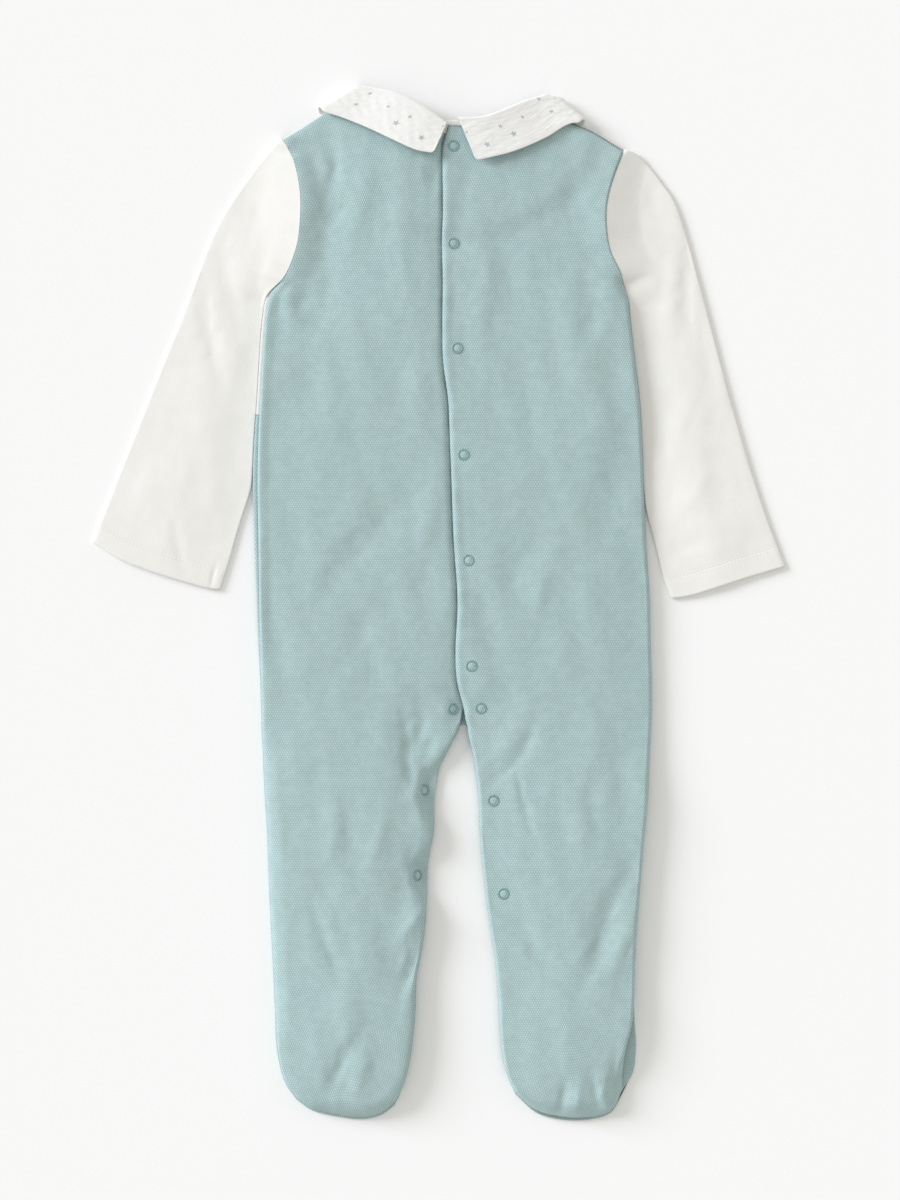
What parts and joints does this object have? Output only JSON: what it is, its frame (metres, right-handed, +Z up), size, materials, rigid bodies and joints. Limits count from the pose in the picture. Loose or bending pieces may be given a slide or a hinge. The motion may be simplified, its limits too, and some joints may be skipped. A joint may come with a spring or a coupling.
{
  "type": "footed baby sleepsuit",
  "caption": "Footed long-sleeved baby sleepsuit in dungaree colours, laid flat face down, with a snapped back placket, snapped inner legs and a star-print collar.",
  "frame": {"origin": "on the surface it lies on, below the middle of the whole outline", "axes": "+Y to the neck, +Z up from the surface to the garment's back, +X to the wearer's right"},
  "size_m": [0.445, 0.6634, 0.0125],
  "materials": {
    "body_pique": "matte grey-teal honeycomb knit",
    "white_jersey": "matte brushed off-white jersey",
    "star_muslin": "matte crinkled white double gauze with small blue-grey stars",
    "snap_enamel": "satin teal enamel",
    "snap_metal": "plain metal, hidden"
  },
  "bodies": {
    "root": {"back_left": "body_pique", "back_right": "body_pique", "front_lower": "body_pique", "front_bodice": "white_jersey", "sleeve_left": "white_jersey", "sleeve_right": "white_jersey", "neck_band": "white_jersey", "collar_left": "star_muslin", "collar_right": "star_muslin", "snap_ring_01": "snap_enamel", "snap_ring_02": "snap_enamel", "snap_ring_03": "snap_enamel", "snap_ring_04": "snap_enamel", "snap_ring_05": "snap_enamel", "snap_ring_06": "snap_enamel", "snap_ring_07": "snap_enamel", "snap_ring_08": "snap_enamel", "snap_ring_09": "snap_enamel", "snap_ring_10": "snap_enamel", "snap_ring_11": "snap_enamel", "snap_ring_12": "snap_enamel", "snap_stud_01": "snap_metal", "snap_stud_02": "snap_metal", "snap_stud_03": "snap_metal", "snap_stud_04": "snap_metal", "snap_stud_05": "snap_metal", "snap_stud_06": "snap_metal", "snap_stud_07": "snap_metal", "snap_stud_08": "snap_metal", "snap_stud_09": "snap_metal", "snap_stud_10": "snap_metal", "snap_stud_11": "snap_metal", "snap_stud_12": "snap_metal"}
  },
  "joints": []
}
